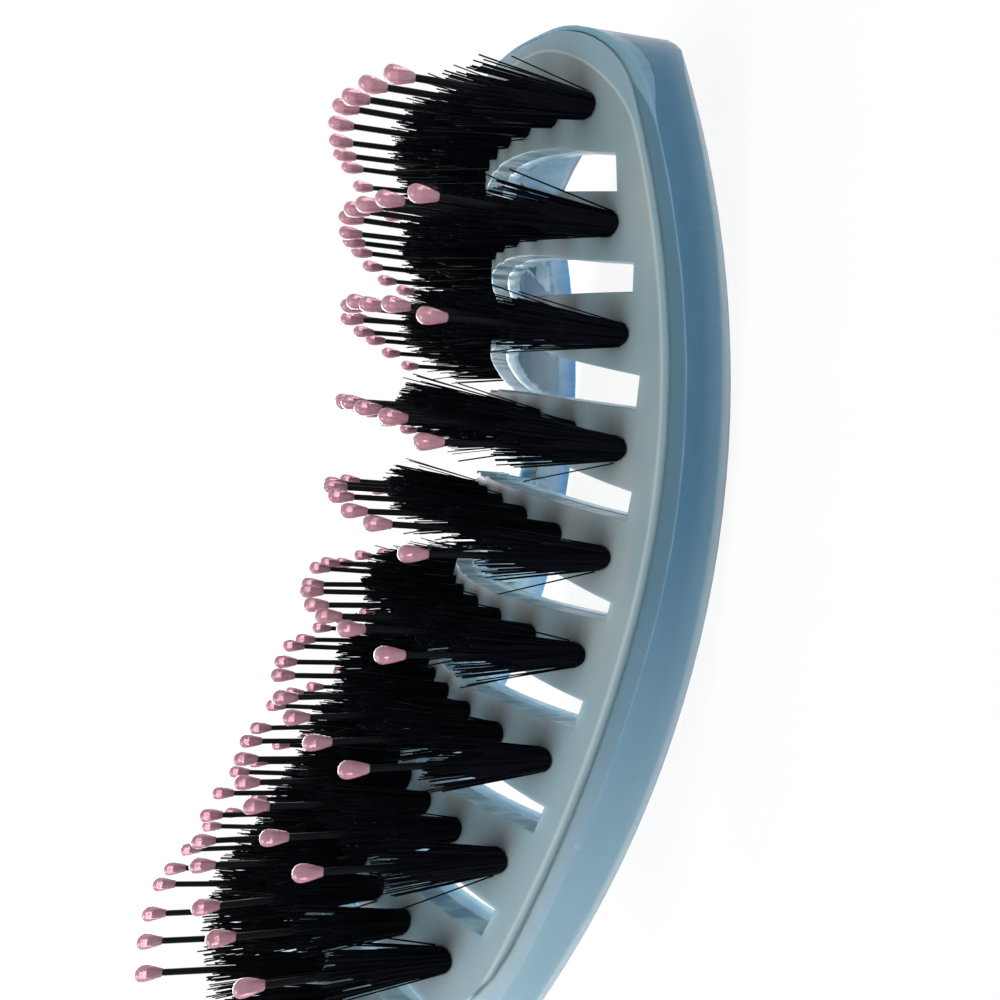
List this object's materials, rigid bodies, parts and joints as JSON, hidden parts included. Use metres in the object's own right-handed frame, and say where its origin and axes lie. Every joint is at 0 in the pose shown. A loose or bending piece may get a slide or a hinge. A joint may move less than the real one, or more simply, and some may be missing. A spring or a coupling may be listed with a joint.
{
  "type": "detangling brush",
  "caption": "Curved vented hair brush with a domed plate of bristle tufts and ball-tipped pins on an open frame with a hollow back and a curved handle.",
  "frame": {"origin": "bottom centre of the bounding box, the brush lying on its back", "axes": "+Z in the direction in which the bristles point, +Y from the handle toward the tip of the head, +X across the head"},
  "size_m": [0.0746, 0.235, 0.0682],
  "materials": {
    "plate": "frosted translucent",
    "frame": "satin translucent",
    "bristle": "satin",
    "pin": "satin",
    "tip": "glossy",
    "anchor": "drawn wire"
  },
  "bodies": {
    "root": {"front_plate": "plate", "back_frame": "frame", "handle": "frame", "bristles_row_01": "bristle", "bristles_row_02": "bristle", "bristles_row_03": "bristle", "bristles_row_04": "bristle", "bristles_row_05": "bristle", "bristles_row_06": "bristle", "bristles_row_07": "bristle", "bristles_row_08": "bristle", "bristles_row_09": "bristle", "bristles_row_10": "bristle", "pins_row_01": "pin", "pins_row_02": "pin", "pins_row_03": "pin", "pins_row_04": "pin", "pins_row_05": "pin", "pins_row_06": "pin", "pins_row_07": "pin", "pins_row_08": "pin", "pins_row_09": "pin", "pins_row_10": "pin", "ball_tips_row_01": "tip", "ball_tips_row_02": "tip", "ball_tips_row_03": "tip", "ball_tips_row_04": "tip", "ball_tips_row_05": "tip", "ball_tips_row_06": "tip", "ball_tips_row_07": "tip", "ball_tips_row_08": "tip", "ball_tips_row_09": "tip", "ball_tips_row_10": "tip", "anchors_row_01": "anchor", "anchors_row_02": "anchor", "anchors_row_03": "anchor", "anchors_row_04": "anchor", "anchors_row_05": "anchor", "anchors_row_06": "anchor", "anchors_row_07": "anchor", "anchors_row_08": "anchor", "anchors_row_09": "anchor", "anchors_row_10": "anchor"}
  },
  "joints": []
}
